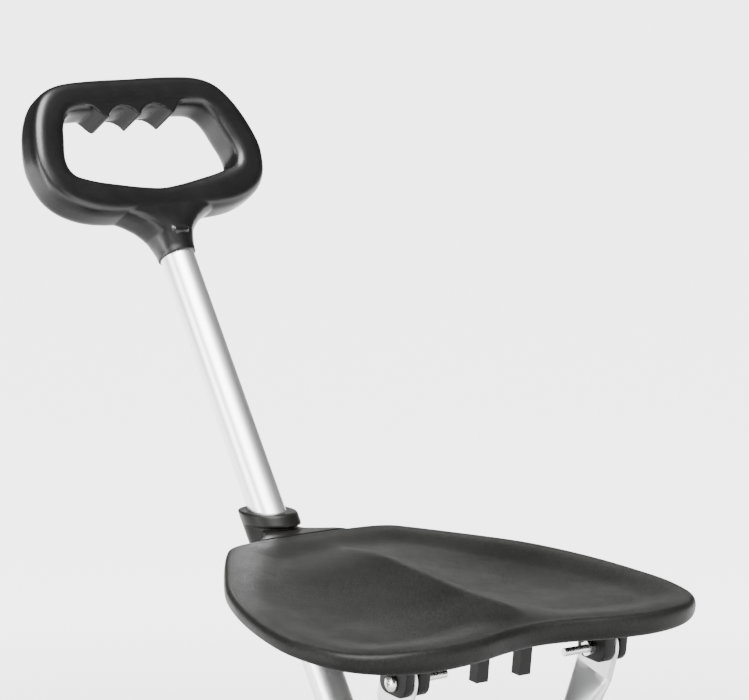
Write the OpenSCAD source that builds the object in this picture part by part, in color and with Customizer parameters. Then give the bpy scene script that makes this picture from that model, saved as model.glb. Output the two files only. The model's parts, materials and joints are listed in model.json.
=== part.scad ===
// Folding tripod cane seat: a leaning centre shaft with a closed grip, a two-lobe
// seat on a sliding collar, and two legs that cross the shaft and fold along it.
// Row frame: X across, +Y to the back, +Z up, the ground at Z = 0, and the origin
// under the middle of the object's box.

/* [Stance] */
// Height of the seat's plane at the shaft's axis, above the ground
seat_height = 512; // [490:1:530]
// Lean of the shaft from upright, its foot to the front
shaft_lean = 32.3; // [31:0.1:33]
// Slope of the seat, its front edge lower
seat_slope = 6.9; // [6:0.1:8]

/* [Tubes] */
// Outer diameter of the shaft tube
shaft_d = 22; // [22:0.5:22]
// Outer diameter of the leg tubes
leg_d = 20; // [19:0.5:20]
// Wall of every tube
tube_wall = 1.5; // [1.2:0.1:2]
// Length of shaft above the seat's plane, up to the grip
shaft_above = 184; // [180:1:200]

/* [Seat] */
// Thickness of the seat's shell
shell_t = 5; // [4.5:0.5:5.5]
// Depth of the seat's rim below its plane
rim_drop = 7; // [6.5:0.1:7.5]
// Height of the seat's rim above its plane
rim_rise = 2.5; // [2:0.1:4]
// Distance of the leg bolts in front of the shaft's axis, along the seat
bolt_f = 228.9; // [226:0.1:230]
// Depth of the leg bolts and of the rear hinge below the seat's plane
bolt_drop = 24; // [24:0.1:24.4]

/* [Legs] */
// Middle of each leg's flattened tab, from the centre plane
tab_x = 74.8; // [74:0.1:76]
// Slope of the legs from the seat down to the crossing, seen from the front
spread_top = 16; // [15.8:0.1:16.2]
// Slope of the legs from the crossing down to the feet, seen from the front
spread_low = 18; // [16:0.5:20]

/* [Grip] */
// Thickness of the grip's bar
bar_d = 21; // [20:0.5:22]
// Half the width of the grip, to the middle of its side bars
grip_half_w = 75.5; // [72:0.5:78]
// Middle of the grip's top bar, above the seat's plane along the shaft
grip_top = 291; // [285:1:295]
// Middle of the grip's bottom bar at its corners
grip_low = 223.5; // [222:0.5:225]

/* [Hidden] */
$fn = 64;

eps = 0.01;
lap = 1;           // a straight tube runs this far into its bend
bend_over = 0.25;  // a bend is this much fatter than its straights
gap = 0.3;         // between faces that move past each other
fit = 0.05;        // radial clearance of a pin in its hole
slide_fit = 0.1;   // radial clearance of the collar on the shaft

// --- where everything is, in the plane of the fold ---
shaft_r = shaft_d / 2;
leg_r = leg_d / 2;
corner = shaft_lean + seat_slope;                 // shaft's square to the seat's plane
hinge_t = bolt_drop / cos(corner);                // rear hinge, down the shaft
hinge_f = bolt_drop * tan(corner);                // rear hinge, along the seat
link = bolt_f - hinge_f;                          // rear hinge to leg bolts
fold = 90 - corner;                               // angle from the seat to the shaft
cross_t = hinge_t + 2 * link * cos(fold);         // crossing, down the shaft
leg_lean = 90 - seat_slope - 2 * shaft_lean;      // legs lean back going down
ground_t = seat_height / cos(shaft_lean);         // ground, down the shaft
bolt_y = -bolt_f * cos(seat_slope) + bolt_drop * sin(seat_slope);
bolt_z = -bolt_f * sin(seat_slope) - bolt_drop * cos(seat_slope);
leg_ground = (seat_height + bolt_z) / cos(leg_lean);  // ground, down the legs
shaft_y = 90.8;    // shaft axis at the seat plane, behind the middle of the box

// --- frames ---
module stand() translate([0, shaft_y, seat_height]) children();
// along the shaft: +Z up the shaft, t counts down it from the seat's plane
module on_shaft(t = 0) stand() rotate([-shaft_lean, 0, 0]) translate([0, 0, -t]) children();
// along the seat: +Y to the back, +Z square to the seat
module on_seat() stand() rotate([seat_slope, 0, 0]) children();
// along the legs: +Z up the legs, origin on the bolts
module on_legs() stand() translate([0, bolt_y, bolt_z]) rotate([leg_lean, 0, 0]) children();
module across(x0, x1) translate([x0, 0, 0]) rotate([0, 90, 0]) linear_extrude(x1 - x0) children();
module both_sides() for (side = [0, 1]) mirror([side, 0, 0]) children();
module above_ground() {
    intersection() {
        children();
        translate([-300, -500, 0]) cube([600, 1000, 1000]);
    }
}
module rod(r, x0, x1) across(x0, x1) circle(r);
module hexagon(across_flats) circle(across_flats / sqrt(3), $fn = 6);

// --- shaft ---
tube_end_t = ground_t - 24;      // lower end of the shaft tube
stop_t = 48;                     // top of the stop ring
stop_h = 10;
stop_pin_r = 2;
cross_r = 3;                     // crossing bolt
module shaft_tube() color([0.83, 0.84, 0.85]) difference() {
    on_shaft(tube_end_t) cylinder(h = tube_end_t + shaft_above, r = shaft_r);
    on_shaft(tube_end_t + 1) cylinder(h = tube_end_t + shaft_above + 2, r = shaft_r - tube_wall);
    on_shaft(cross_t) rod(cross_r + fit, -20, 20);
    on_shaft(stop_t + stop_h / 2) rod(stop_pin_r, -20, 20);
    on_shaft(screw_t) rotate([-90, 0, 0]) cylinder(h = 20, r = screw_r);
}
module stop_ring() color([0.1, 0.1, 0.11]) difference() {
    on_shaft(stop_t + stop_h) cylinder(h = stop_h - gap, r = 15.5);
    on_shaft(stop_t + stop_h + 1) cylinder(h = stop_h + 2, r = shaft_r);
    on_shaft(stop_t + stop_h / 2) rod(stop_pin_r, -20, 20);
}
module stop_ring_pin() color([0.75, 0.76, 0.78]) on_shaft(stop_t + stop_h / 2) rod(stop_pin_r, -15, 15);

// --- grip ---
bar_r = bar_d / 2;
corner_r = 24;                   // bend of the grip's bar, to its middle
low_rise = 5;                    // the bottom bar dips by this to the middle
dip_x = 34;
socket_r = 14;
neck_bend = 22;                  // hollow curve from the socket out to the bar
neck_half = 34;
plug_len = 40;                   // the grip's plug inside the tube
screw_r = 1.9;
screw_t = -shaft_above + 20;
ridge_pitch = 24.6;
ridge_tip = 274;                 // finger ridges reach down to this, along the shaft
ridge_t = 19.5;
module arc_bar(from) rotate([90, 0, 0]) rotate([0, 0, from]) rotate_extrude(angle = 90)
    translate([corner_r, 0]) circle(bar_r + bend_over);
module bar(length, over = lap) translate([0, 0, -over]) cylinder(h = length + 2 * over, r = bar_r);
// the closed loop of the grip, built standing in the XZ plane
module grip_loop() {
    side_len = grip_top - grip_low - 2 * corner_r;
    straight = grip_half_w - corner_r;
    tilt = atan(low_rise / (straight - dip_x));
    translate([-straight, 0, grip_top]) rotate([0, 90, 0]) bar(2 * straight);
    both_sides() {
        translate([grip_half_w, 0, grip_low + corner_r]) bar(side_len);
        translate([straight, 0, grip_top - corner_r]) arc_bar(0);
        translate([straight, 0, grip_low + corner_r]) arc_bar(-90);
        translate([straight, 0, grip_low]) rotate([0, -90 - tilt, 0]) bar((straight - dip_x) / cos(tilt));
        translate([dip_x, 0, grip_low - low_rise]) sphere(bar_r + bend_over);
    }
    translate([-dip_x, 0, grip_low - low_rise]) rotate([0, 90, 0]) bar(2 * dip_x, 0);
}
module ridge_block() {
    half = 1.5 * ridge_pitch;
    valley_r = 13.4;
    translate([0, ridge_t / 2, 0]) rotate([90, 0, 0]) linear_extrude(ridge_t) difference() {
        polygon([[-half, grip_top], [-half, grip_top - 8], [-ridge_pitch - 1, ridge_tip],
            [ridge_pitch + 1, ridge_tip], [half, grip_top - 8], [half, grip_top]]);
        for (side = [-1, 1])
            translate([side * ridge_pitch / 2, ridge_tip + 8 - valley_r]) circle(valley_r);
    }
}
// flared neck between the socket and the bottom bar
module neck() {
    low = shaft_above + 6;
    translate([0, 9, 0]) rotate([90, 0, 0]) linear_extrude(18) difference() {
        translate([-neck_half, low]) square([2 * neck_half, grip_low - low_rise - low]);
        for (side = [-1, 1])
            translate([side * (socket_r - 0.6 + neck_bend), low - 2]) circle(neck_bend);
    }
}
module handle_grip() color([0.05, 0.05, 0.055]) difference() {
    on_shaft() {
        grip_loop();
        ridge_block();
        translate([0, 0, shaft_above + 6]) cylinder(h = 30, r = socket_r);
        translate([0, 0, shaft_above]) cylinder(h = 8, r = shaft_r);
        translate([0, 0, shaft_above - plug_len]) cylinder(h = plug_len + 8, r = shaft_r - tube_wall - fit);
        neck();
    }
    on_shaft(screw_t) rotate([-90, 0, 0]) cylinder(h = 20, r = screw_r - fit);
}
// grub screw, flush with the tube so that the collar can slide over it
module handle_screw() color([0.7, 0.71, 0.73]) intersection() {
    on_shaft(screw_t) rotate([-90, 0, 0]) translate([0, 0, 2]) cylinder(h = shaft_r, r = screw_r - fit);
    on_shaft() cylinder(h = shaft_above, r = shaft_r);
}

// --- crossing ---
bracket_half = 15;
bracket_h = 42;
leg_mid_x = bracket_half + gap + leg_r;    // leg's axis at the crossing
module crossing_bracket() color([0.08, 0.08, 0.085]) difference() {
    on_shaft(cross_t + bracket_h / 2) intersection() {
        cylinder(h = bracket_h, r = 18);
        translate([-bracket_half, -20, 0]) cube([2 * bracket_half, 40, bracket_h]);
    }
    on_shaft(cross_t + bracket_h) cylinder(h = 2 * bracket_h, r = shaft_r);
    on_shaft(cross_t) rod(cross_r, -20, 20);
}
washer_t = 1.2;
bush_flange = 1.4;
bush_out = leg_mid_x + leg_r + bush_flange;
module crossing_bolt() color([0.75, 0.76, 0.78]) on_shaft(cross_t) {
    rod(cross_r, -bush_out - gap - washer_t, bush_out + gap + washer_t + 9);
    across(-bush_out - gap - washer_t - 4, -bush_out - gap - washer_t) hexagon(10);
}
module crossing_nut() color([0.75, 0.76, 0.78]) on_shaft(cross_t) difference() {
    across(bush_out + gap + washer_t, bush_out + gap + washer_t + 6) hexagon(10);
    rod(cross_r, 0, 90);
}
module crossing_washers() color([0.78, 0.79, 0.8]) on_shaft(cross_t) both_sides() difference() {
    rod(7, bush_out + gap, bush_out + gap + washer_t);
    rod(cross_r, 0, 90);
}

// --- legs ---
tab_t = 3.5;                     // two walls pressed flat together
tab_half = PI * leg_d / 4;       // flattening a tube gives half its girth
tab_len = 17;                    // flat length below the bolt
loft_len = 40;                   // flat tab to round tube
loft_over = 0.35;                // its round end is this much fatter than the tube
bend_r = 90;                     // bend at the crossing, to the tube's middle
bolt_r = 2.5;
bush_r = 4.5;
leg_end = leg_ground - 22;       // lower end of the leg tube, measured upright
top_x = leg_mid_x + bend_r * (1 - cos(spread_top));
top_z = -link + bend_r * sin(spread_top);
low_x = leg_mid_x + bend_r * (1 - cos(spread_low));
low_z = -link - bend_r * sin(spread_low);
loft_z = -tab_len - loft_len;
loft_x = top_x + (loft_z - top_z) * tan(spread_top);
module leg_line(r) {
    translate([top_x, 0, top_z]) rotate([0, spread_top, 0]) translate([0, 0, -lap])
        cylinder(h = (loft_z - top_z) / cos(spread_top) + 2 * lap, r = r);
    translate([leg_mid_x + bend_r, 0, -link]) rotate([90, 0, 0])
        rotate([0, 0, 180 - spread_top]) rotate_extrude(angle = spread_top + spread_low)
            translate([bend_r, 0]) circle(r + bend_over);
    translate([low_x, 0, low_z]) rotate([0, 180 - spread_low, 0]) translate([0, 0, -lap])
        cylinder(h = (leg_end + low_z) / cos(spread_low) + lap, r = r);
}
module tab_outline() {
    circle(tab_half);
    translate([0, -tab_half]) square([tab_len, 2 * tab_half]);
}
module leg() color([0.83, 0.84, 0.85]) on_legs() difference() {
    union() {
        leg_line(leg_r);
        translate([tab_x - tab_t / 2, 0, 0]) rotate([0, 90, 0]) linear_extrude(tab_t) tab_outline();
        hull() {
            translate([tab_x - tab_t / 2, -tab_half, -tab_len - 2]) cube([tab_t, 2 * tab_half, 2]);
            translate([loft_x, 0, loft_z]) rotate([0, spread_top, 0])
                cylinder(h = 2, r = leg_r + loft_over, $fn = 32);
        }
    }
    difference() {
        leg_line(leg_r - tube_wall);
        translate([tab_x - 40, -20, loft_z - 6]) cube([80, 40, 40]);
    }
    rod(bolt_r + fit, 0, 100);
    translate([0, 0, -link]) rod(bush_r, 0, 60);
    translate([0, 0, -link]) rod(leg_r + 1, leg_mid_x + leg_r - 0.6, 60);
    // the tube stays open at its end
    translate([low_x, 0, low_z]) rotate([0, 180 - spread_low, 0])
        cylinder(h = 400, r = leg_r - tube_wall);
}
module leg_left() mirror([1, 0, 0]) leg();
module leg_right() leg();
module leg_bushes() color([0.15, 0.15, 0.16]) on_legs() translate([0, 0, -link]) both_sides() difference() {
    union() {
        rod(bush_r, bracket_half + gap, bush_out);
        rod(leg_r - 2, leg_mid_x + leg_r - 0.6, bush_out);
    }
    rod(cross_r + fit, 0, 90);
}

// --- feet ---
foot_grip = 30;                  // tube held by the foot
disc_t = 2;
// a ribbed rubber foot around +Z, open upwards; z = 0 is the tube's end
module foot(tube_r, tilt) {
    base_r = tube_r + 8.5;
    neck_r = tube_r + 4;
    rotate_extrude() polygon(concat(
        [[0, -24 - base_r * tan(tilt)], [base_r + 1, -24 - base_r * tan(tilt)], [base_r, -8],
            [neck_r + 0.8, 2]],
        [for (k = [0:2]) each [[neck_r + 0.8, 6 + 7 * k], [neck_r, 7 + 7 * k], [neck_r, 9 + 7 * k],
            [neck_r + 0.8, 10 + 7 * k]]],
        [[neck_r, foot_grip - 1.5], [neck_r - 1.5, foot_grip], [tube_r, foot_grip],
            [tube_r, 0], [tube_r - tube_wall, 0], [tube_r - tube_wall, -disc_t], [0, -disc_t]]));
}
module disc(tube_r) translate([0, 0, -disc_t]) cylinder(h = disc_t, r = tube_r - tube_wall);
module shaft_foot() color([0.06, 0.06, 0.06]) above_ground() on_shaft(tube_end_t) foot(shaft_r, shaft_lean);
module shaft_foot_disc() color([0.6, 0.6, 0.62]) on_shaft(tube_end_t) disc(shaft_r);
module at_foot() on_legs() translate([low_x, 0, low_z]) rotate([0, -spread_low, 0])
    translate([0, 0, -(leg_end + low_z) / cos(spread_low)]) children();
module foot_right() color([0.06, 0.06, 0.06]) above_ground() at_foot() foot(leg_r, 26);
module foot_left() mirror([1, 0, 0]) foot_right();
module foot_discs() color([0.6, 0.6, 0.62]) both_sides() at_foot() disc(leg_r);

// --- seat ---
// right half of the seat's edge, from the middle of the back round to the front notch
edge = [[0, 36.5], [33, 37], [57, 40.5], [71, 52], [98.5, 88], [118, 118], [132, 153], [140, 190],
    [140, 216], [132, 242], [112, 260], [84, 267.5], [52, 265.5], [23, 259], [0, 256.5]];
steps = 5;
loop = concat(edge, [for (i = [len(edge) - 2:-1:1]) [-edge[i].x, edge[i].y]]);
function knot(i) = loop[(i + len(loop)) % len(loop)];
function curve(a, b, c, d, t) = 0.5 * (2 * b + (c - a) * t + (2 * a - 5 * b + 4 * c - d) * t * t
    + (3 * b - a - 3 * c + d) * t * t * t);
seat_line = [for (i = [0:len(loop) - 1]) for (k = [0:steps - 1])
    curve(knot(i - 1), knot(i), knot(i + 1), knot(i + 2), k / steps)];
function inward(i) = let (n = len(seat_line), v = seat_line[(i + 1) % n] - seat_line[(i + n - 1) % n])
    [-v.y, v.x] / norm(v);
function inset(d) = [for (i = [0:len(seat_line) - 1]) seat_line[i] + d * inward(i)];
module seat_slab(d, z0, z1) on_seat() translate([0, 0, z0]) linear_extrude(z1 - z0)
    polygon([for (p = inset(d)) [p.x, -p.y]]);
rim_t = 6;
plate_t = 3.5;                   // base of the spine and of the lugs
under = rim_rise - 1 - shell_t;  // underside of the seat's shell
seat_screw_r = 1.5;
screw_bite = 1.4;                // length of the seat screws inside the shell
screw_spots = [for (x = [-22, 22]) for (f = [84, 130, 180]) [x, f]];
// in front of the lugs' walls, clear of the folded legs
lug_screw_spots = [for (side = [-1, 1]) for (x = [66, 83]) [side * x, 246.5]];
module at_spots(spots) for (p = spots) translate([p.x, -p.y, 0]) children();
module seat_shell() color([0.13, 0.13, 0.135]) difference() {
    union() {
        seat_slab(2.5, rim_rise - 1.5, rim_rise);
        seat_slab(0, -rim_drop + 2, rim_rise - 1.5);
        seat_slab(2, -rim_drop, -rim_drop + 2);
    }
    seat_slab(rim_t, -rim_drop - 1, under);
    seat_slab(rim_t + 4, rim_rise - 1, rim_rise + 1);
    on_seat() at_spots(concat(screw_spots, lug_screw_spots))
        translate([0, 0, under - 1]) cylinder(h = screw_bite + 1, r = seat_screw_r);
}

// spine: plate under the seat with the rear hinge ears and the storage fork
prong_gap = 23.2;
prong_w = 8.5;
prong_d = 7;
prong_f = 228.4;
prong_tip = -33.7;
ear_x0 = 20.5;
ear_t = 6;
ear_r = 8.5;
pin_r = 3;
module spine_plate() translate([0, 0, under - plate_t]) linear_extrude(plate_t)
    polygon([[-30, -45], [30, -45], [30, -214], [24, -233], [-24, -233], [-30, -214]]);
module ear() difference() {
    across(ear_x0, ear_x0 + ear_t) {
        translate([bolt_drop, -hinge_f]) circle(ear_r);
        polygon([[bolt_drop - 6, -hinge_f + 6], [bolt_drop + ear_r, -hinge_f], [bolt_drop + 4, -44],
            [plate_t - under, -72], [plate_t - under, -46]]);
    }
    translate([0, -hinge_f, -bolt_drop]) rod(pin_r, 0, 60);
}
module seat_spine() color([0.09, 0.09, 0.095]) on_seat() difference() {
    union() {
        spine_plate();
        both_sides() {
            translate([prong_gap / 2, -prong_f, prong_tip]) cube([prong_w, prong_d, under - plate_t - prong_tip]);
            ear();
        }
    }
    at_spots(screw_spots) translate([0, 0, under - plate_t - 1]) cylinder(h = plate_t + 2, r = seat_screw_r + 0.2);
}

// lugs: a fork of two walls on a foot plate, with the leg's tab between them
lug_w = 24;
lug_in = 64.8;                   // inner face of the inner wall
lug_out = 82.5;                  // outer face of the outer wall
slot_in = tab_x - tab_t / 2 - gap;
slot_out = tab_x + tab_t / 2 + gap;
module lug_outline() {
    r = 9.5;
    translate([-lug_w / 2 + r, -bolt_drop]) circle(r);
    translate([lug_w / 2 - r, -bolt_drop]) circle(r);
    translate([-lug_w / 2, -bolt_drop]) square([lug_w, bolt_drop + under]);
    translate([-lug_w / 2 + r, -bolt_drop - r]) square([lug_w - 2 * r, r]);
}
module lug_wall(x0, x1) translate([x0, -bolt_f, 0]) rotate([90, 0, 90]) linear_extrude(x1 - x0) lug_outline();
module lug() color([0.09, 0.09, 0.095]) on_seat() difference() {
    union() {
        lug_wall(lug_in, slot_in);
        lug_wall(slot_out, lug_out);
        translate([lug_in - 4, -252, under - plate_t]) cube([lug_out - lug_in + 8, 52, plate_t]);
    }
    translate([0, -bolt_f, -bolt_drop]) rod(bolt_r, 0, 100);
    at_spots(lug_screw_spots) translate([0, 0, under - plate_t - 1]) cylinder(h = plate_t + 2, r = seat_screw_r + 0.2);
}
module lug_left() mirror([1, 0, 0]) lug();
module lug_right() lug();
module pan_screw(length) {
    translate([0, 0, -eps]) cylinder(h = length + eps, r = seat_screw_r);
    translate([0, 0, -1.8]) cylinder(h = 1.8, r1 = 2.4, r2 = 3.1);
}
module seat_screws() color([0.7, 0.71, 0.73]) on_seat() at_spots(concat(screw_spots, lug_screw_spots))
    translate([0, 0, under - plate_t]) pan_screw(plate_t + screw_bite);

// leg bolts: pan heads outboard, nuts and thread ends inboard
bolt_end = 43.9;
module pivot_bolts() color([0.8, 0.81, 0.83]) on_seat() translate([0, -bolt_f, -bolt_drop]) both_sides() {
    rod(bolt_r, bolt_end, lug_out);
    rod(4.9, lug_out, lug_out + 2.4);
    rod(3.6, lug_out + 2.4, lug_out + 3.6);
}
module pivot_nuts() color([0.8, 0.81, 0.83]) on_seat() translate([0, -bolt_f, -bolt_drop]) both_sides() difference() {
    across(lug_in - 4, lug_in) hexagon(8);
    rod(bolt_r, 0, 90);
}

// --- sliding collar ---
band_r = 17.2;
sleeve_r = 14.6;
boss_out = ear_x0 - gap;
band_top = 4.2;                  // level top of the band, above the seat's plane
band_low = -2.8;
tongue_f = 35.9;                 // front edge of the tongue, just behind the seat
module level_slab(z0, z1) stand() translate([-60, -80, z0]) cube([120, 160, z1 - z0]);
module slide_collar() color([0.09, 0.09, 0.095]) difference() {
    union() {
        intersection() {
            on_shaft(60) cylinder(h = 120, r = band_r);
            level_slab(band_low, band_top);
        }
        intersection() {
            on_shaft(stop_t) cylinder(h = 100, r = sleeve_r);
            level_slab(-80, band_top - 1);
        }
        // back wall, flush with the band
        intersection() {
            on_shaft(36) cylinder(h = 80, r = band_r);
            level_slab(-60, band_top);
            on_shaft(60) translate([-40, 3, 0]) cube([80, 40, 120]);
        }
        on_seat() translate([0, -hinge_f, -bolt_drop]) rod(8, -boss_out, boss_out);
        // tongue to the back of the seat
        hull() {
            on_seat() translate([-33, -tongue_f, -6]) cube([66, 1, 5]);
            on_seat() translate([-14, -14, -8]) cube([28, 1, 5.5]);
        }
    }
    on_shaft(80) cylinder(h = 160, r = shaft_r + slide_fit);
    on_seat() translate([0, -hinge_f, -bolt_drop]) rod(pin_r + fit, -60, 60);
}
module collar_pins() color([0.75, 0.76, 0.78]) on_seat() translate([0, -hinge_f, -bolt_drop]) both_sides()
    rod(pin_r, shaft_r + 1, ear_x0 + ear_t + 2.5);
module collar_pin_clips() color([0.6, 0.61, 0.63]) on_seat() translate([0, -hinge_f, -bolt_drop]) both_sides()
    difference() {
        rod(5.5, ear_x0 + ear_t, ear_x0 + ear_t + 1);
        rod(pin_r, 0, 60);
    }

shaft_tube();
handle_grip();
handle_screw();
stop_ring();
stop_ring_pin();
crossing_bracket();
crossing_bolt();
crossing_nut();
crossing_washers();
shaft_foot();
shaft_foot_disc();
leg_left();
leg_right();
leg_bushes();
foot_left();
foot_right();
foot_discs();
seat_shell();
seat_spine();
lug_left();
lug_right();
seat_screws();
pivot_bolts();
pivot_nuts();
slide_collar();
collar_pins();
collar_pin_clips();
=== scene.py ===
"""Looks of a folding tripod cane seat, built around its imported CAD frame.

Shapes are made in millimetres in three local frames, then placed in the row frame:
seat frame   X across, Y to the back along the seat, Z square to it
shaft frame  X across, Z up the shaft, Y to the back; both start on the shaft's axis at seat level
leg frame    X across, Z up the legs, starting on the leg bolts
"""

import json
import math

import bmesh
import bpy
import numpy as np
from mathutils import Matrix, Vector


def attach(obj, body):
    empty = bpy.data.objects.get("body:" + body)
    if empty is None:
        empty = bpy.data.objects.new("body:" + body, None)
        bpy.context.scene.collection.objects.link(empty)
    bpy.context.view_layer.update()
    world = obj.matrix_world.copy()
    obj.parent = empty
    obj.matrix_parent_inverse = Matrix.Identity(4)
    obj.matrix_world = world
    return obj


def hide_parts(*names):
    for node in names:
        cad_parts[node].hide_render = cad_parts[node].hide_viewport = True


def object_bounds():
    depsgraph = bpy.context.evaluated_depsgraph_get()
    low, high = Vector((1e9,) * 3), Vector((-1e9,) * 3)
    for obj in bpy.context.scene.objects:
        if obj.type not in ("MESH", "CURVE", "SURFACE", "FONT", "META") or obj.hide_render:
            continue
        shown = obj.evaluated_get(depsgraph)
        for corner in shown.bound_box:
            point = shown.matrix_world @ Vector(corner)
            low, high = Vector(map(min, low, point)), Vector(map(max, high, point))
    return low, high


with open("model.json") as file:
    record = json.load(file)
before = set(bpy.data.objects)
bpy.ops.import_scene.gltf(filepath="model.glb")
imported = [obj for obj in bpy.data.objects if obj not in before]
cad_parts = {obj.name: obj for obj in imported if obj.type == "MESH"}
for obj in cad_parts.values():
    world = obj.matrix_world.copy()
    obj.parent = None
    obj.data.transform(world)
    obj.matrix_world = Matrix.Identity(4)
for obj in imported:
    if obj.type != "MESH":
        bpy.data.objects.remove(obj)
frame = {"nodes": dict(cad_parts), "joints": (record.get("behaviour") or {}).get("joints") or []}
cad_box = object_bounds()
MM = 0.001

# ---------------------------------------------------------------- frames
ACROSS = Vector((1, 0, 0))
BOLT_DROP = 24 * MM  # the rear hinge and the leg bolts below the seat's plane
pivot = {j["name"]: Vector(j["pos_m"]) for j in frame["joints"]}
crossing, leg_bolts, rear_hinge = pivot["fold"], pivot["seat_tilt"], pivot["collar_turn"]
up_shaft = (rear_hinge - crossing).normalized()
back_along_seat = (rear_hinge - leg_bolts).normalized()
off_seat = ACROSS.cross(back_along_seat)
up_leg = (leg_bolts - crossing).normalized()
seat_point = rear_hinge + up_shaft * (BOLT_DROP / up_shaft.dot(off_seat))
HINGE_F = (seat_point - rear_hinge).dot(back_along_seat) / MM
BOLT_F = (seat_point - leg_bolts).dot(back_along_seat) / MM
LINK = (leg_bolts - crossing).length / MM


def placed(origin, y, z):
    """Matrix from a local frame in millimetres to the row frame in metres."""
    turn = Matrix((ACROSS, y, z)).transposed().to_4x4()
    return Matrix.Translation(origin) @ turn @ Matrix.Scale(MM, 4)


SEAT = placed(seat_point, back_along_seat, off_seat)
SHAFT = placed(seat_point, up_shaft.cross(ACROSS), up_shaft)
LEG = placed(leg_bolts, up_leg.cross(ACROSS), up_leg)
MIRROR = Matrix.Diagonal((-1, 1, 1, 1))


# ---------------------------------------------------------------- materials
class Nodes:
    """Small helper to chain shader nodes."""

    def __init__(self, name):
        self.material = bpy.data.materials.new(name)
        self.material.use_nodes = True
        self.tree = self.material.node_tree
        self.shader = self.tree.nodes["Principled BSDF"]
        self.place = self.add("ShaderNodeTexCoord").outputs["Object"]

    def add(self, kind, links=None, **values):
        node = self.tree.nodes.new(kind)
        for key, value in values.items():
            if hasattr(node, key):
                setattr(node, key, value)
            else:
                node.inputs[key.replace("_", " ")].default_value = value
        for key, socket in (links or {}).items():
            self.tree.links.new(socket, node.inputs[key])
        return node

    def noise(self, scale, detail=3, roughness=0.5, vector=None, seed=0.0):
        where = vector or self.place
        if seed:
            shift = self.add("ShaderNodeMapping", {"Vector": where})
            shift.inputs["Location"].default_value = (seed, seed, seed)
            where = shift.outputs["Vector"]
        return self.add("ShaderNodeTexNoise", {"Vector": where}, Scale=scale, Detail=detail,
                        Roughness=roughness).outputs["Fac"]

    def blend(self, a, b):
        """Halfway between two values."""
        total = self.add("ShaderNodeMath", operation="ADD")
        for socket, value in zip(total.inputs, (a, b)):
            self.tree.links.new(value, socket)
        return self.ramp(total.outputs["Value"], 0, 2, 0, 1)

    def ramp(self, value, low, high, out_low, out_high):
        return self.add("ShaderNodeMapRange", {"Value": value}, From_Min=low, From_Max=high,
                        To_Min=out_low, To_Max=out_high).outputs["Result"]

    def mix(self, factor, a, b):
        node = self.add("ShaderNodeMix", data_type="RGBA")
        for key, colour in (("A", a), ("B", b)):
            socket = [s for s in node.inputs if s.name == key and s.type == "RGBA"][0]
            socket.default_value = (*colour, 1)
        self.tree.links.new(factor, node.inputs[0])
        return [s for s in node.outputs if s.type == "RGBA"][0]

    def bump(self, height, distance, strength=1.0, under=None):
        links = {"Height": height}
        if under:
            links["Normal"] = under
        return self.add("ShaderNodeBump", links, Distance=distance, Strength=strength).outputs["Normal"]

    def set(self, **sockets):
        for key, value in sockets.items():
            socket = self.shader.inputs[key.replace("_", " ")]
            if isinstance(value, bpy.types.NodeSocket):
                self.tree.links.new(value, socket)
            else:
                socket.default_value = value
        return self.material


# slow changes of colour and sheen per metre, and the coarse grain as a share of the fine grain's scale
DRIFT, SMEAR, CLOUD, COARSE = 14, 45, 30, 0.45


def moulded(name, dark, pale, rough_low, rough_high, grain, grain_depth, specular=0.5):
    """Moulded plastic: a grain of so many per metre and mm deep, colour drift and uneven sheen."""
    n = Nodes(name)
    drift, fine, smear = n.noise(DRIFT, 4), n.noise(grain, 2, 0.6), n.noise(SMEAR, 5, 0.65, seed=3)
    speck = n.noise(grain * COARSE, 2, 0.7, seed=7)
    body = n.mix(n.ramp(n.blend(drift, speck), 0.38, 0.62, 0, 1), dark, pale)
    sheen = n.ramp(smear, 0.3, 0.7, rough_low, rough_high)
    surface = n.bump(speck, grain_depth * 1.6 * MM, 0.5, n.bump(fine, grain_depth * MM, 0.8))
    return n.set(Base_Color=body, Roughness=sheen, Normal=surface, Specular_IOR_Level=specular)


def along_shaft(n, stretch):
    """Coordinates that hardly change along the shaft, for drawn lines."""
    lean = math.atan2(-up_shaft.y, up_shaft.z)
    turned = n.add("ShaderNodeMapping", {"Vector": n.place})
    turned.inputs["Rotation"].default_value = (-lean, 0, 0)
    pulled = n.add("ShaderNodeMapping", {"Vector": turned.outputs["Vector"]})
    pulled.inputs["Scale"].default_value = (1, 1, stretch)
    return pulled.outputs["Vector"]


LINE_STRETCH = 0.01  # scale along the shaft of the drawn lines


def metal(name, dark, pale, rough_low, rough_high, lines=None, grain=900, depth=0.006):
    """Metal with so many drawn lines per metre along the shaft, or a fine grain without them."""
    n = Nodes(name)
    where = along_shaft(n, LINE_STRETCH) if lines else n.place
    drawn = n.noise(lines or grain, 3, 0.6, where)
    cloud = n.noise(CLOUD, 4, 0.6, seed=5)
    colour = n.mix(n.ramp(cloud, 0.3, 0.7, 0, 1), dark, pale)
    sheen = n.ramp(drawn, 0.3, 0.7, rough_low, rough_high)
    return n.set(Base_Color=colour, Roughness=sheen, Metallic=1.0,
                 Normal=n.bump(drawn, depth * MM, 0.5))


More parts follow.
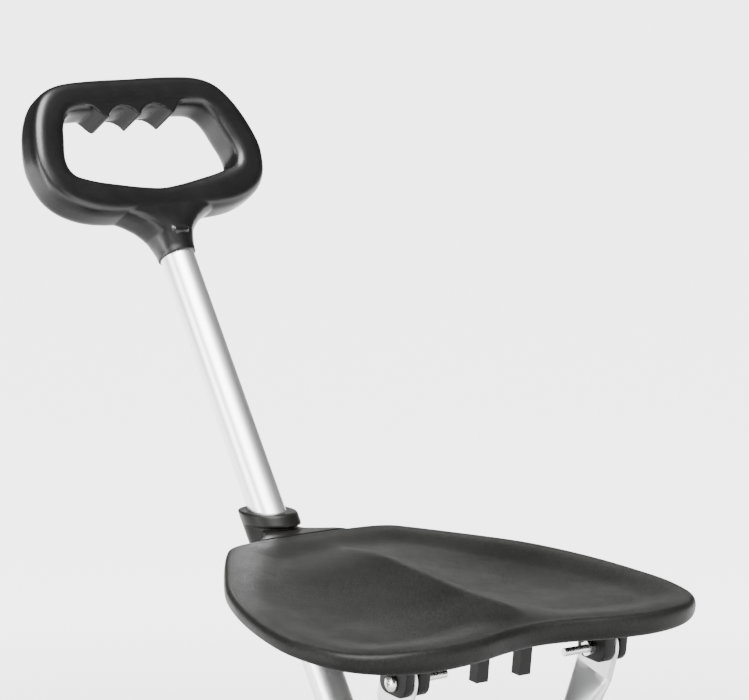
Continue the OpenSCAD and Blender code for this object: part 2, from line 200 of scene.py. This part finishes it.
SEAT_PLASTIC = moulded("seat_plastic", (0.0030, 0.0031, 0.0028), (0.0078, 0.0079, 0.0072),
                       rough_low=0.42, rough_high=0.50, grain=1500, grain_depth=0.17, specular=0.13)
GRIP_PLASTIC = moulded("grip_plastic", (0.0015, 0.0015, 0.0015), (0.0030, 0.0029, 0.0029),
                       rough_low=0.30, rough_high=0.38, grain=1500, grain_depth=0.02, specular=0.42)
FITTING_PLASTIC = moulded("fitting_plastic", (0.0040, 0.0038, 0.0036), (0.0062, 0.0059, 0.0055),
                          rough_low=0.34, rough_high=0.46, grain=1300, grain_depth=0.04, specular=0.16)
RUBBER = moulded("foot_rubber", (0.012, 0.012, 0.012), (0.022, 0.022, 0.021),
                 rough_low=0.62, rough_high=0.78, grain=1000, grain_depth=0.08)
NYLON = moulded("bush_nylon", (0.040, 0.040, 0.042), (0.055, 0.055, 0.056),
                rough_low=0.40, rough_high=0.50, grain=1200, grain_depth=0.03)
TUBE_METAL = metal("anodised_tube", (0.90, 0.905, 0.91), (0.95, 0.95, 0.95), 0.34, 0.42, lines=1400)
LEG_METAL = metal("leg_tube", (0.60, 0.605, 0.61), (0.68, 0.68, 0.685), 0.33, 0.37, grain=900, depth=0.0008)
ZINC = metal("zinc_steel", (0.62, 0.63, 0.62), (0.74, 0.75, 0.73), 0.20, 0.36, grain=500, depth=0.004)


# ---------------------------------------------------------------- mesh helpers
def piece(name, points, faces, body, material, slot, matrix=None, sharp=35, bevel=0.0):
    """A closed mesh in a local frame becomes a piece in the row frame."""
    mesh = bpy.data.meshes.new(name)
    place = matrix or Matrix.Identity(4)
    mesh.from_pydata([place @ Vector(p) for p in points], [], faces)
    fixed = bmesh.new()
    fixed.from_mesh(mesh)
    bmesh.ops.remove_doubles(fixed, verts=fixed.verts, dist=1e-6)
    bmesh.ops.recalc_face_normals(fixed, faces=fixed.faces)
    fixed.to_mesh(mesh)
    fixed.free()
    obj = bpy.data.objects.new(name, mesh)
    bpy.context.scene.collection.objects.link(obj)
    return dress(obj, body, material, sharp, bevel)


def dress(obj, body, material, sharp=35, bevel=0.0):
    if bevel:
        soften(obj, bevel)
    obj.data.shade_smooth()
    obj.data.set_sharp_from_angle(angle=math.radians(sharp))
    obj.data.materials.clear()
    obj.data.materials.append(material)
    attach(obj, body)
    return obj


def soften(obj, width, segments=3):
    """Rounds an object's hard edges."""
    b = obj.modifiers.new("soft_edges", "BEVEL")
    b.width, b.segments, b.limit_method, b.angle_limit = width * MM, segments, "ANGLE", math.radians(32)
    b.harden_normals = False
    apply_modifiers(obj)


def apply_modifiers(obj):
    bpy.context.view_layer.update()
    graph = bpy.context.evaluated_depsgraph_get()
    made = bpy.data.meshes.new_from_object(obj.evaluated_get(graph))
    obj.modifiers.clear()
    obj.data = made


def rings_to_faces(rings, around, closed=False, caps=True):
    faces = []
    for r in range(rings if closed else rings - 1):
        a, b = r * around, (r + 1) % rings * around
        for i in range(around):
            j = (i + 1) % around
            faces.append((a + i, a + j, b + j, b + i))
    if caps and not closed:
        faces.append(tuple(range(around - 1, -1, -1)))
        faces.append(tuple(range((rings - 1) * around, rings * around)))
    return faces


def spun(profile, steps=64):
    """Points and faces of (radius, height) pairs turned about Z, with capped ends."""
    turns = [2 * math.pi * i / steps for i in range(steps)]
    points = [(r * math.cos(t), r * math.sin(t), z) for r, z in profile for t in turns]
    return points, rings_to_faces(len(profile), steps)


def prism(outline, low, high):
    """An outline in X and Z pushed along Y from low to high."""
    points = [(x, y, z) for y in (low, high) for x, z in outline]
    return points, rings_to_faces(2, len(outline))


def smooth_step(low, high, value):
    t = np.clip((np.asarray(value, float) - low) / (high - low), 0, 1)
    return t * t * (3 - 2 * t)


def curve_through(knots, steps):
    """Closed Catmull-Rom curve through rows of values."""
    k = np.array(knots, float)
    a, b, c, d = np.roll(k, 1, 0), k, np.roll(k, -1, 0), np.roll(k, -2, 0)
    out = []
    for i in range(len(k)):
        for t in np.arange(steps) / steps:
            out.append(0.5 * (2 * b[i] + (c[i] - a[i]) * t + (2 * a[i] - 5 * b[i] + 4 * c[i] - d[i]) * t**2
                              + (3 * b[i] - a[i] - 3 * c[i] + d[i]) * t**3))
    return np.array(out)


def mirrored_loop(right_half):
    """Rows from one point on the centre line to the other, closed by their mirror image in X."""
    flip = [[-v if k % 2 == 0 else v for k, v in enumerate(row)] for row in right_half[-2:0:-1]]
    return right_half + flip


def squircle(width, depth, power, count):
    """Rounded rectangle of half sizes width and depth."""
    out = []
    for t in np.linspace(0, 2 * math.pi, count, endpoint=False):
        c, s = math.cos(t), math.sin(t)
        out.append((width * math.copysign(abs(c) ** (2 / power), c),
                    depth * math.copysign(abs(s) ** (2 / power), s)))
    return out


def raw(name, points, faces):
    """A plain mesh object in millimetres, to be fused into a piece."""
    mesh = bpy.data.meshes.new(name)
    mesh.from_pydata([tuple(p) for p in points], [], faces)
    b = bmesh.new()
    b.from_mesh(mesh)
    bmesh.ops.remove_doubles(b, verts=b.verts, dist=1e-4)
    bmesh.ops.recalc_face_normals(b, faces=b.faces)
    b.to_mesh(mesh)
    b.free()
    obj = bpy.data.objects.new(name, mesh)
    bpy.context.scene.collection.objects.link(obj)
    return obj


def fused(name, parts, voxel, smooth_rounds, matrix, cutters=()):
    """Parts in millimetres merged into one skin with filleted joins, cut, then placed."""
    first = parts[0]
    with bpy.context.temp_override(active_object=first, selected_objects=parts,
                                   selected_editable_objects=parts):
        bpy.ops.object.join()
    first.name = first.data.name = name
    remesh = first.modifiers.new("fuse", "REMESH")
    remesh.mode, remesh.voxel_size, remesh.adaptivity = "VOXEL", voxel, 0
    smooth = first.modifiers.new("fillet", "SMOOTH")
    smooth.factor, smooth.iterations = 0.5, smooth_rounds
    for cutter in cutters:
        cut = first.modifiers.new("bore", "BOOLEAN")
        cut.operation, cut.object, cut.solver = "DIFFERENCE", cutter, "EXACT"
    apply_modifiers(first)
    for cutter in cutters:
        bpy.data.objects.remove(cutter)
    first.data.transform(matrix)
    return first


# ---------------------------------------------------------------- seat
# right half of the edge, X and distance in front of the shaft, from the back to the front notch
SEAT_EDGE = [[0, 36.5], [33, 37], [57, 40.5], [71, 52], [98.5, 88], [118, 118], [132, 153], [140, 190],
             [140, 216], [132, 242], [112, 260], [84, 267.5], [52, 265.5], [23, 259], [0, 256.5]]
SEAT_MIDDLE = np.array([0.0, 150.0])
SEAT_STEPS = 9  # points between two of the edge's knots
RIM_LOW, RIM_BACK, RIM_RISE, RIM_FRONT = -7.0, 0.4, 1.4, 4.8
SHELL, UNDERSIDE = 4.0, -2.2  # thickness of the shell, and the highest that its underside goes
# deepest part of a lobe and its spread; depth of the dish, more in a lobe's middle and at the front
LOBE_X, LOBE_F, LOBE_WIDE, LOBE_LONG = 68, 150, 34, 52
BOWL, BOWL_MIDDLE, BOWL_FRONT = 2.6, 1.5, 1.4
# the ridge's height at the back and its rise to the front; how round its top is, and its spread
CREST, CREST_RISE, CREST_FRONT = 1.4, 6.4, 1.2
RIDGE_ROUND, RIDGE_TOP, RIDGE_SPREAD = 12, 3.5, 21


def rim_height(x, f):
    """Height of the seat's rim: low at the back, higher towards the front, less so at the lobes' ends."""
    front = RIM_FRONT * smooth_step(180, 262, f) * (1 - 0.5 * smooth_step(90, 135, np.abs(x)))
    return RIM_BACK + RIM_RISE * smooth_step(40, 110, f) + front


def edge_distance(spots, line):
    """Distance of each spot to a closed line."""
    a, b = line[None], np.roll(line, -1, 0)[None]
    p = spots[:, None]
    t = np.clip(((p - a) * (b - a)).sum(2) / ((b - a) ** 2).sum(2), 0, 1)
    return np.sqrt(((p - a - t[..., None] * (b - a)) ** 2).sum(2)).min(1)


def dished(spots, from_edge):
    """Top of the seat: two lobes sunk below the rim, with a ridge between them."""
    x, f = spots[:, 0], spots[:, 1]
    middle = np.exp(-(((np.abs(x) - LOBE_X) / LOBE_WIDE) ** 2) - ((f - LOBE_F) / LOBE_LONG) ** 2)
    bowl = BOWL + BOWL_MIDDLE * middle + BOWL_FRONT * smooth_step(200, 245, f)
    bowl = bowl * smooth_step(10, 36, from_edge)
    crest = CREST + CREST_RISE * smooth_step(58, 118, f) + CREST_FRONT * smooth_step(170, 230, f)
    crest = crest * smooth_step(6, 34, from_edge)
    crest = crest * (1 - 0.5 * smooth_step(215, 262, f))
    ridge = crest * np.exp(-(np.sqrt(x**2 + RIDGE_ROUND) - RIDGE_TOP) / RIDGE_SPREAD)
    return rim_height(x, f) - bowl + ridge


def seat_mesh():
    line = curve_through(mirrored_loop(SEAT_EDGE), SEAT_STEPS)
    ahead = np.roll(line, -1, 0) - np.roll(line, 1, 0)
    inward = np.stack([-ahead[:, 1], ahead[:, 0]], 1)
    inward /= np.linalg.norm(inward, axis=1)[:, None]
    if ((SEAT_MIDDLE - line[0]) * inward[0]).sum() < 0:
        inward = -inward
    count, rings = len(line), []

    def ring(flat, height):
        rings.append(np.column_stack([flat[:, 0], -flat[:, 1], height]))

    # underside, from the middle out to the lip
    lip_in = 6.0
    inner = line + lip_in * inward
    shares = [0.02, 0.15, 0.3, 0.45, 0.6, 0.72, 0.82, 0.9, 0.96, 1.0]
    for share in shares:
        flat = SEAT_MIDDLE + share * (inner - SEAT_MIDDLE)
        ring(flat, np.minimum(dished(flat, edge_distance(flat, line)) - SHELL, UNDERSIDE))
    ring(inner, np.full(count, RIM_LOW + 1.2))
    ring(line + (lip_in - 0.8) * inward, np.full(count, RIM_LOW + 0.3))
    # the rolled rim, from its underside round to the top
    top = rim_height(line[:, 0], line[:, 1])
    half = (top - RIM_LOW) / 2
    reach = 3.4 + 1.3 * smooth_step(180, 250, line[:, 1])
    for turn in np.linspace(-90, 90, 17):
        c, s = math.cos(math.radians(turn)), math.sin(math.radians(turn))
        out = reach * (1 - abs(c) ** 0.8)
        ring(line + out[:, None] * inward, RIM_LOW + half * (1 + math.copysign(abs(s) ** 0.85, s)))
    # the dished top, from the rim in to the middle
    for step in (6.2, 7.6, 9.0, 10.6):
        flat = line + step * inward
        ring(flat, dished(flat, edge_distance(flat, line)))
    start = line + 12 * inward
    for share in np.linspace(1, 0.02, 46):
        flat = SEAT_MIDDLE + share * (start - SEAT_MIDDLE)
        ring(flat, dished(flat, edge_distance(flat, line)))
    return np.vstack(rings), rings_to_faces(len(rings), count)


seat = piece("seat_top", *seat_mesh(), "seat", SEAT_PLASTIC, "seat_plastic", SEAT, sharp=60)
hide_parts("seat_shell")

# stiffening ribs on the seat's underside, either side of the spine
RIB_HALF, RIB_LOW, RIB_TOP, RIB_START, RIB_BEVEL = 0.9, -6.9, -5.2, 32, 0.4
# distance in front of the shaft, X of the outer end, and how far the outer end is further forward
RIBS = ((75, 84, 6), (105, 104, 8), (135, 118, 10), (165, 126, 12))
rib_lines = [((side * RIB_START, f), (side * reach, f + lean)) for side in (-1, 1) for f, reach, lean in RIBS]
for i, ((x0, f0), (x1, f1)) in enumerate(rib_lines):
    along = Vector((x1 - x0, -(f1 - f0))).normalized()
    side = Vector((-along.y, along.x)) * RIB_HALF
    corners = [(x0, -f0), (x1, -f1)]
    pts = [(cx + k * side.x, cy + k * side.y, z) for z in (RIB_LOW, RIB_TOP)
           for (cx, cy), k in ((corners[0], 1), (corners[0], -1), (corners[1], -1), (corners[1], 1))]
    piece(f"seat_rib_{i + 1}", pts, rings_to_faces(2, 4), "seat", SEAT_PLASTIC, "seat_plastic", SEAT,
          bevel=RIB_BEVEL)


# ---------------------------------------------------------------- grip
TUBE_R = 11.0
# right half of the loop: X and height of its outer edge, X and height of its inner edge
GRIP_LOOP = [[0, 302, 0, 280], [30, 302, 28, 280], [52, 300.3, 46, 279.6], [65.5, 295, 53, 276.5],
             [74.5, 285, 57.5, 269.5], [81.5, 270.5, 60.2, 260], [86, 252, 63.2, 250], [85, 239, 63.4, 242.5],
             [80.8, 227, 60, 237.2], [72, 217.5, 53, 234.6], [57.5, 210.8, 44, 232.2], [40, 208, 30, 229.4],
             [20, 208, 15, 226.6], [0, 208, 0, 225]]
GRIP_DEPTH, GRIP_POWER, GRIP_STEPS = 12.0, 3.5, 6
GRIP_LEAN, SOCKET_TOP = 0.028, 192.0  # the loop leans to the front, from this height up the shaft
GRIP_VOXEL, COLLAR_VOXEL, FILLET_ROUNDS = 0.75, 0.55, 3


def grip_loop():
    stations = curve_through(mirrored_loop(GRIP_LOOP), GRIP_STEPS)
    section = squircle(1, 1, GRIP_POWER, 40)
    points = []
    for ox, oz, ix, iz in stations:
        for across, depth in section:
            mix = (1 + across) / 2
            points.append((ix + (ox - ix) * mix, GRIP_DEPTH * depth, iz + (oz - iz) * mix))
    return raw("loop", points, rings_to_faces(len(stations), len(section), closed=True))


def finger_ridges():
    pitch, tip, top, valley, half_t = 24.6, 273.6, 292.0, 13.4, 11.4
    end, end_low, start, start_low = 37.5, 283.5, 34, 282.5
    outline = [(-end, top), (-end, end_low), (-start, start_low),
               (-pitch - 2.2, tip + 1.3), (-pitch - 0.9, tip + 0.2),
               (-pitch + 0.9, tip + 0.2), (-pitch + 2.0, tip + 1.0)]
    for centre in (-pitch / 2, pitch / 2):
        for t in np.linspace(math.radians(152), math.radians(28), 13):
            outline.append((centre + valley * math.cos(t), tip - 5.6 + valley * math.sin(t)))
        outline += [(centre + pitch / 2 - 0.9, tip + 0.2), (centre + pitch / 2 + 0.9, tip + 0.2)]
    outline += [(start, start_low), (end, end_low), (end, top)]
    return raw("ridges", *prism(outline, -half_t, half_t))


def neck():
    """Flared neck from the socket out to the loop's bottom bar."""
    shape = [[179.8, 12.3, 12.3, 2.0], [184, 12.6, 12.6, 2.0], [189, 13.3, 13.4, 2.2], [194, 15.0, 13.6, 2.4],
             [198, 18.3, 13.2, 2.7], [202, 23.0, 12.7, 3.0], [206, 30.0, 12.3, 3.2], [209.5, 38.5, 12.0, 3.3],
             [213, 44.0, 11.7, 3.4], [221, 42.0, 11.2, 3.4]]
    knots = np.array(shape)
    points = []
    levels = np.linspace(knots[0, 0], knots[-1, 0], 40)
    for z in levels:
        width, depth, power = (np.interp(z, knots[:, 0], knots[:, k]) for k in (1, 2, 3))
        points += [(x, y, z) for x, y in squircle(width, depth, power, 48)]
    return raw("neck", points, rings_to_faces(len(levels), 48))


def ledge():
    """Small raised ledge across the front of the socket."""
    front, width = -14.3, 5.2
    points = [(x, y, z) for z in (191.6, 194.4) for x, y in
              ((-width, front + 4), (-width, front), (width, front), (width, front + 4))]
    return raw("ledge", points, rings_to_faces(2, 4))


grip = fused("grip", [grip_loop(), finger_ridges(), neck(), ledge()], GRIP_VOXEL, FILLET_ROUNDS,
             Matrix.Identity(4))
for vertex in grip.data.vertices:
    vertex.co.y -= GRIP_LEAN * max(0.0, vertex.co.z - SOCKET_TOP)
grip.data.transform(SHAFT)
dress(grip, "shaft", GRIP_PLASTIC, sharp=50)
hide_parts("handle_grip")


# ---------------------------------------------------------------- collar
BAND_R, SLEEVE_R, BORE_R = 17.2, 14.3, TUBE_R + 0.12
lean_slope = -SHAFT.to_3x3().normalized().col[1].z  # fall of the shaft frame's Y axis
lean_rise = up_shaft.z


def level_rings(profile, around=96):
    """Rings round the shaft whose heights are level, from (radius, height, share of flush back)."""
    points = []
    for radius, height, flush in profile:
        for i in range(around):
            t = 2 * math.pi * i / around
            r = radius + flush * (BAND_R - radius) * float(smooth_step(-0.15, 0.55, math.sin(t)))
            x, y = r * math.cos(t), r * math.sin(t)
            points.append((x, y, (height + y * lean_slope) / lean_rise))
    return points, rings_to_faces(len(profile), around, closed=True)


band = raw("band", *level_rings([
    (9.0, -26, 0), (9.0, 4.0, 0), (11.6, 4.5, 0), (15.9, 4.5, 0), (16.9, 4.1, 0), (17.2, 3.3, 0),
    (17.2, -2.2, 0), (16.7, -2.9, 1), (SLEEVE_R + 0.4, -3.2, 1), (SLEEVE_R, -4.2, 1), (SLEEVE_R, -12, 1),
    (SLEEVE_R, -25, 0.9), (SLEEVE_R - 0.8, -26, 0.8)]))
# the tongue, from under the band out to the seat's straight back edge
TONGUE = [[11, 13, -9.5, -3.4], [17, 15, -8.8, -3.0], [24, 22, -7.6, -1.9], [30, 29, -6.8, -0.8],
          [35.9, 33, -6.4, -0.1]]


def tongue():
    knots, points = np.array(TONGUE), []
    stations = np.linspace(knots[0, 0], knots[-1, 0], 24)
    for f in stations:
        width, low, high = (np.interp(f, knots[:, 0], knots[:, k]) for k in (1, 2, 3))
        points += [(x, -f, (low + high) / 2 + z) for x, z in squircle(width, (high - low) / 2, 8.0, 56)]
    to_shaft = SHAFT.inverted() @ SEAT
    return raw("tongue", [to_shaft @ Vector(p) for p in points], rings_to_faces(len(stations), 56))


def boss():
    """Round boss for the rear hinge, across the collar."""
    to_shaft = SHAFT.inverted() @ SEAT @ Matrix.Translation((0, -HINGE_F, -BOLT_DROP / MM))
    points, faces = spun([(7.4, -20.1), (8, -19.5), (8, 19.5), (7.4, 20.1)], 48)
    return raw("boss", [to_shaft @ Vector((z, x, y)) for x, y, z in points], faces)


bore = raw("bore", *spun([(BORE_R, -90), (BORE_R, 60)], 96))
PIN_HOLE_R, PIN_HOLE_HALF = 3.05, 40
hinge_hole = raw("hinge_hole", *spun([(PIN_HOLE_R, -PIN_HOLE_HALF), (PIN_HOLE_R, PIN_HOLE_HALF)], 32))
hinge_hole.data.transform(SHAFT.inverted() @ SEAT @ Matrix.Translation((0, -HINGE_F, -BOLT_DROP / MM))
                          @ Matrix.Rotation(math.pi / 2, 4, "Y"))
collar = fused("collar", [band, tongue(), boss()], COLLAR_VOXEL, FILLET_ROUNDS, SHAFT, [bore, hinge_hole])
dress(collar, "collar", FITTING_PLASTIC, sharp=40)
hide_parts("slide_collar")


# ---------------------------------------------------------------- legs
LEG_R = 10.0
TAB_X, TAB_T, TAB_HALF = 74.8, 3.5, math.pi * LEG_R / 2
TAB_BACK = 3.0
TAB_FLAT, LOFT = 17.0, 40.0
SPREAD_TOP, SPREAD_LOW = math.radians(16), math.radians(18)
BEND_R = 90.0
BRACKET_HALF, BUSH_GAP = 15, 0.3
LEG_MID_X = BRACKET_HALF + BUSH_GAP + LEG_R
FOOT_SOCKET = 22  # the tube's end above the ground, along the leg
TAB_EDGE, LOFT_EASE = 1.6, 0.85


def leg_mesh(around=40):
    """One leg: a pressed tab, a creased run into round tube, and the bend at the crossing."""
    turns = np.linspace(0, 2 * math.pi, around, endpoint=False)
    top_x = LEG_MID_X + BEND_R * (1 - math.cos(SPREAD_TOP))
    top_z = -LINK + BEND_R * math.sin(SPREAD_TOP)
    loft_z = -TAB_FLAT - LOFT
    loft_x = top_x + (loft_z - top_z) * math.tan(SPREAD_TOP)
    rings = []

    def flat_section(z, half_width):
        """The pressed section: two faces with rounded edges."""
        return np.array([(TAB_X + TAB_T / 2 * math.copysign(min(1, abs(math.cos(t)) * TAB_EDGE), math.cos(t)),
                          TAB_BACK + half_width * math.sin(t), z) for t in turns])

    def round_section(x, z, tilt):
        return np.array([(x + LEG_R * math.cos(t) * math.cos(tilt), LEG_R * math.sin(t),
                          z - LEG_R * math.cos(t) * math.sin(tilt)) for t in turns])

    for rise in np.linspace(88, 0, 14):
        a = math.radians(rise)
        rings.append(flat_section(TAB_HALF * math.sin(a), TAB_HALF * math.cos(a)))
    rings += [flat_section(z, TAB_HALF) for z in (-6, -12, -TAB_FLAT + 0.8, -TAB_FLAT)]
    last, first = flat_section(-TAB_FLAT, TAB_HALF), round_section(loft_x, loft_z, SPREAD_TOP)
    for share in np.linspace(0, 1, 16)[1:]:
        eased = share ** LOFT_EASE
        rings.append(last + (first - last) * eased)
    rings.append(round_section(top_x, top_z, SPREAD_TOP))
    for turn in np.linspace(SPREAD_TOP, -SPREAD_LOW, 18)[1:]:
        rings.append(round_section(LEG_MID_X + BEND_R * (1 - math.cos(turn)),
                                   -LINK + BEND_R * math.sin(turn), turn))
    low_x = LEG_MID_X + BEND_R * (1 - math.cos(SPREAD_LOW))
    low_z = -LINK - BEND_R * math.sin(SPREAD_LOW)
    foot_z = leg_end_height()
    rings.append(round_section(low_x + (low_z - foot_z) * math.tan(SPREAD_LOW), foot_z, -SPREAD_LOW))
    return np.vstack(rings), rings_to_faces(len(rings), around)


def leg_end_height():
    """The tube's lower end in the leg frame, from the ground up."""
    ground = -(leg_bolts.z / up_leg.z) / MM
    return ground + FOOT_SOCKET


for side, place in (("left", LEG @ MIRROR), ("right", LEG)):
    leg = piece(f"leg_tube_{side}", *leg_mesh(), "legs", LEG_METAL, "anodised_tube", place, sharp=24)
    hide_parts(f"leg_{side}")

# ---------------------------------------------------------------- lugs, fork and plates
LUG_HALF, LUG_BELOW = 12.0, 7.4
LUG_IN, SLOT_IN, SLOT_OUT, LUG_OUT = 64.8, 72.75, 76.85, 82.5
UNDER = -3.5
PLATE_OVER, PLATE_FRONT, PLATE_BACK, PLATE_T = 4, -23, 28.9, 3.5
LUG_BEVEL, PLATE_BEVEL = 0.9, 0.8


def lug_outline():
    """Side view of a lug wall in Y and Z, its lower corners rounded."""
    round_r, out = 7.0, []
    low = -BOLT_DROP / MM - LUG_BELOW
    for sign, turns in ((1, np.linspace(0, -90, 9)), (-1, np.linspace(-90, -180, 9))):
        for t in np.radians(turns):
            out.append((sign * (LUG_HALF - round_r) + round_r * math.cos(t),
                        low + round_r + round_r * math.sin(t)))
    return [(LUG_HALF, UNDER)] + out + [(-LUG_HALF, UNDER)]


def slab(outline, low, high):
    """An outline in Y and Z pushed along X."""
    return [(x, y, z) for x in (low, high) for y, z in outline], rings_to_faces(2, len(outline))


def box_points(low, high):
    (a, b, c), (d, e, f) = low, high
    return [(x, y, z) for z in (c, f) for x, y in ((a, b), (d, b), (d, e), (a, e))], rings_to_faces(2, 4)


for side, place in (("left", SEAT @ MIRROR), ("right", SEAT)):
    at_bolt = place @ Matrix.Translation((0, -BOLT_F, 0))
    walls = [piece(f"lug_{name}_wall_{side}", *slab(lug_outline(), low, high), "seat", FITTING_PLASTIC,
                   "fitting_plastic", at_bolt, bevel=LUG_BEVEL)
             for name, low, high in (("inner", LUG_IN, SLOT_IN), ("outer", SLOT_OUT, LUG_OUT))]
    piece(f"lug_plate_{side}", *box_points((LUG_IN - PLATE_OVER, PLATE_FRONT, UNDER - PLATE_T),
                                           (LUG_OUT + PLATE_OVER, PLATE_BACK, UNDER)),
          "seat", FITTING_PLASTIC, "fitting_plastic", at_bolt, bevel=PLATE_BEVEL)
    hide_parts(f"lug_{side}")


# ---------------------------------------------------------------- leg bolts
BOLT_R = 2.5


def threaded(low, high, thread_to):
    """A bolt's shank along Z, with a helical thread up to thread_to."""
    pitch, depth, around = 0.8, 0.32, 32
    points, levels = [], np.arange(low, thread_to, pitch / 6)
    levels = np.concatenate([levels, [thread_to, thread_to + 0.3, high]])
    for z in levels:
        for i in range(around):
            wave = abs(((z / pitch - i / around) % 1) * 2 - 1)
            taper = min(1.0, (z - low) / 1.0 + 0.35)
            r = BOLT_R * (0.86 + 0.14 * taper) - (depth * wave if z < thread_to else 0)
            t = 2 * math.pi * i / around
            points.append((r * math.cos(t), r * math.sin(t), z))
    return points, rings_to_faces(len(levels), around)


def pan_head(radius, height):
    """Domed head with a cross recess cut into it."""
    profile = [(radius * 0.94, 0), (radius, 0.35), (radius, height * 0.35)]
    profile += [(radius * math.cos(t), height * (0.35 + 0.65 * math.sin(t)))
                for t in np.radians([20, 40, 60, 75, 86])]
    head = raw("head", *spun(profile, 48))
    arm, half, floor = 2.3, 0.55, height - 1.7
    cross = [(half, arm), (half, half), (arm, half), (arm, -half), (half, -half), (half, -arm),
             (-half, -arm), (-half, -half), (-arm, -half), (-arm, half), (-half, half), (-half, arm)]
    points = [(x * k, y * k, z) for z, k in ((floor, 0.5), (height + 1, 1.15)) for x, y in cross]
    recess = raw("recess", points, rings_to_faces(2, len(cross)))
    cut = head.modifiers.new("recess", "BOOLEAN")
    cut.operation, cut.object, cut.solver = "DIFFERENCE", recess, "EXACT"
    apply_modifiers(head)
    bpy.data.objects.remove(recess)
    return head


def place_raw(obj, name, matrix, body, material, sharp=35):
    obj.name = obj.data.name = name
    obj.data.transform(matrix)
    return dress(obj, body, material, sharp)


BOLT_END, HEAD_R, HEAD_HEIGHT = 43.9, 4.9, 3.4
for side, place in (("left", SEAT @ MIRROR), ("right", SEAT)):
    # along X outward from the centre plane
    axis = place @ Matrix.Translation((0, -BOLT_F, -BOLT_DROP / MM)) @ Matrix.Rotation(math.pi / 2, 4, "Y")
    shank = piece(f"leg_bolt_{side}", *threaded(BOLT_END, LUG_OUT, LUG_IN + 2), "seat", ZINC,
                  "zinc_steel", axis)
    place_raw(pan_head(HEAD_R, HEAD_HEIGHT), f"leg_bolt_head_{side}",
              axis @ Matrix.Translation((0, 0, LUG_OUT)), "seat", ZINC)
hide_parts("pivot_bolts")

# ---------------------------------------------------------------- CAD nodes that keep their shape
CAD_LOOKS = {
    "shaft_tube": TUBE_METAL, "handle_screw": ZINC, "stop_ring": FITTING_PLASTIC, "stop_ring_pin": ZINC,
    "crossing_bracket": FITTING_PLASTIC, "crossing_bolt": ZINC, "crossing_nut": ZINC,
    "crossing_washers": ZINC, "shaft_foot": RUBBER, "shaft_foot_disc": ZINC, "leg_bushes": NYLON,
    "foot_left": RUBBER, "foot_right": RUBBER, "foot_discs": ZINC, "seat_spine": FITTING_PLASTIC,
    "seat_screws": ZINC, "pivot_nuts": ZINC, "collar_pins": ZINC, "collar_pin_clips": ZINC}
for name, material in CAD_LOOKS.items():
    node = frame["nodes"][name]
    node.data.materials.clear()
    node.data.materials.append(material)

# ---------------------------------------------------------------- floor, light and camera
FLOOR_SIZE, FLOOR_GAP = 60.0, 0.0005
NEAR, FAR = 0.6, 2.2  # metres over which the floor turns from a painted shade round the object to its own pale grey
# the near grey is painted shade on the floor round the object, which also darkens what the object's
# undersides reflect
SHADE_GREY_NEAR, GREY_FAR = (0.30, 0.30, 0.30), (0.95, 0.95, 0.95)
bpy.ops.mesh.primitive_plane_add(size=FLOOR_SIZE, location=(0, 0, cad_box[0].z - FLOOR_GAP))
floor = bpy.context.object
floor.name = "floor"
matt = Nodes("floor")
away = matt.add("ShaderNodeVectorMath", {"Vector": matt.place}, operation="LENGTH").outputs["Value"]
distance = matt.ramp(away, NEAR, FAR, 0, 1)
matt.set(Base_Color=matt.mix(distance, SHADE_GREY_NEAR, GREY_FAR), Roughness=0.8, Specular_IOR_Level=0.1)
floor.data.materials.append(matt.material)

world = bpy.context.scene.world or bpy.data.worlds.new("world")
bpy.context.scene.world = world
world.use_nodes = True
backdrop = world.node_tree.nodes["Background"]
backdrop.inputs["Color"].default_value = (1, 1, 1, 1)
# seen directly the room is as pale as the floor, but it lights the object only a little
SEEN, LIT = 3.6, 0.06
seen = world.node_tree.nodes.new("ShaderNodeLightPath").outputs["Is Camera Ray"]
room = world.node_tree.nodes.new("ShaderNodeMapRange")
room.inputs["To Min"].default_value, room.inputs["To Max"].default_value = LIT, SEEN
world.node_tree.links.new(seen, room.inputs["Value"])
world.node_tree.links.new(room.outputs["Result"], backdrop.inputs["Strength"])


def softbox(name, place, aim, width, height, power):
    """Rectangular studio lamp; lengths in metres, power in watts."""
    light = bpy.data.lights.new(name, "AREA")
    light.shape, light.size, light.size_y, light.energy = "RECTANGLE", width, height, power
    obj = bpy.data.objects.new(name, light)
    obj.location = place
    obj.rotation_euler = (Vector(aim) - Vector(place)).to_track_quat("-Z", "Y").to_euler()
    bpy.context.scene.collection.objects.link(obj)


middle = (0, 0, 0.55)
softbox("left_strip", (-2.0, 0.3, 0.9), middle, 0.5, 1.7, 42)
softbox("left_high", (-1.6, -1.2, 2.3), middle, 1.3, 1.0, 44)
softbox("right_back", (1.5, 1.8, 1.04), middle, 1.4, 0.5, 4.5)
softbox("front_fill", (0.5, -2.4, 1.1), middle, 1.5, 1.3, 30)

CEILING_POWER, CEILING_SPREAD, CEILING_FALL = 15.0, math.radians(45), Vector((0.20, 0.22, -1))
sky = bpy.data.lights.new("ceiling", "SUN")
sky.energy, sky.angle = CEILING_POWER, CEILING_SPREAD
ceiling = bpy.data.objects.new("ceiling", sky)
ceiling.rotation_euler = CEILING_FALL.to_track_quat("-Z", "Y").to_euler()
bpy.context.scene.collection.objects.link(ceiling)

# the camera: azimuth and fall of its line of sight, and its place from the seat's point
AZIMUTH, FALL = math.radians(-38.26), math.radians(8.11)
SENSOR, LENS = 36.0, 186.85
CAMERA_FROM_SEAT = Vector((-1403.0, -1882.7, 438.35))
NEAREST, FURTHEST = 0.05, 200
data = bpy.data.cameras.new("camera")
data.sensor_width, data.lens = SENSOR, LENS
data.clip_start, data.clip_end = NEAREST, FURTHEST
camera = bpy.data.objects.new("camera", data)
camera.location = seat_point + CAMERA_FROM_SEAT * MM
sight = Vector((-math.sin(AZIMUTH) * math.cos(FALL), math.cos(AZIMUTH) * math.cos(FALL), -math.sin(FALL)))
camera.rotation_euler = sight.to_track_quat("-Z", "Y").to_euler()
bpy.context.scene.collection.objects.link(camera)
bpy.context.scene.camera = camera
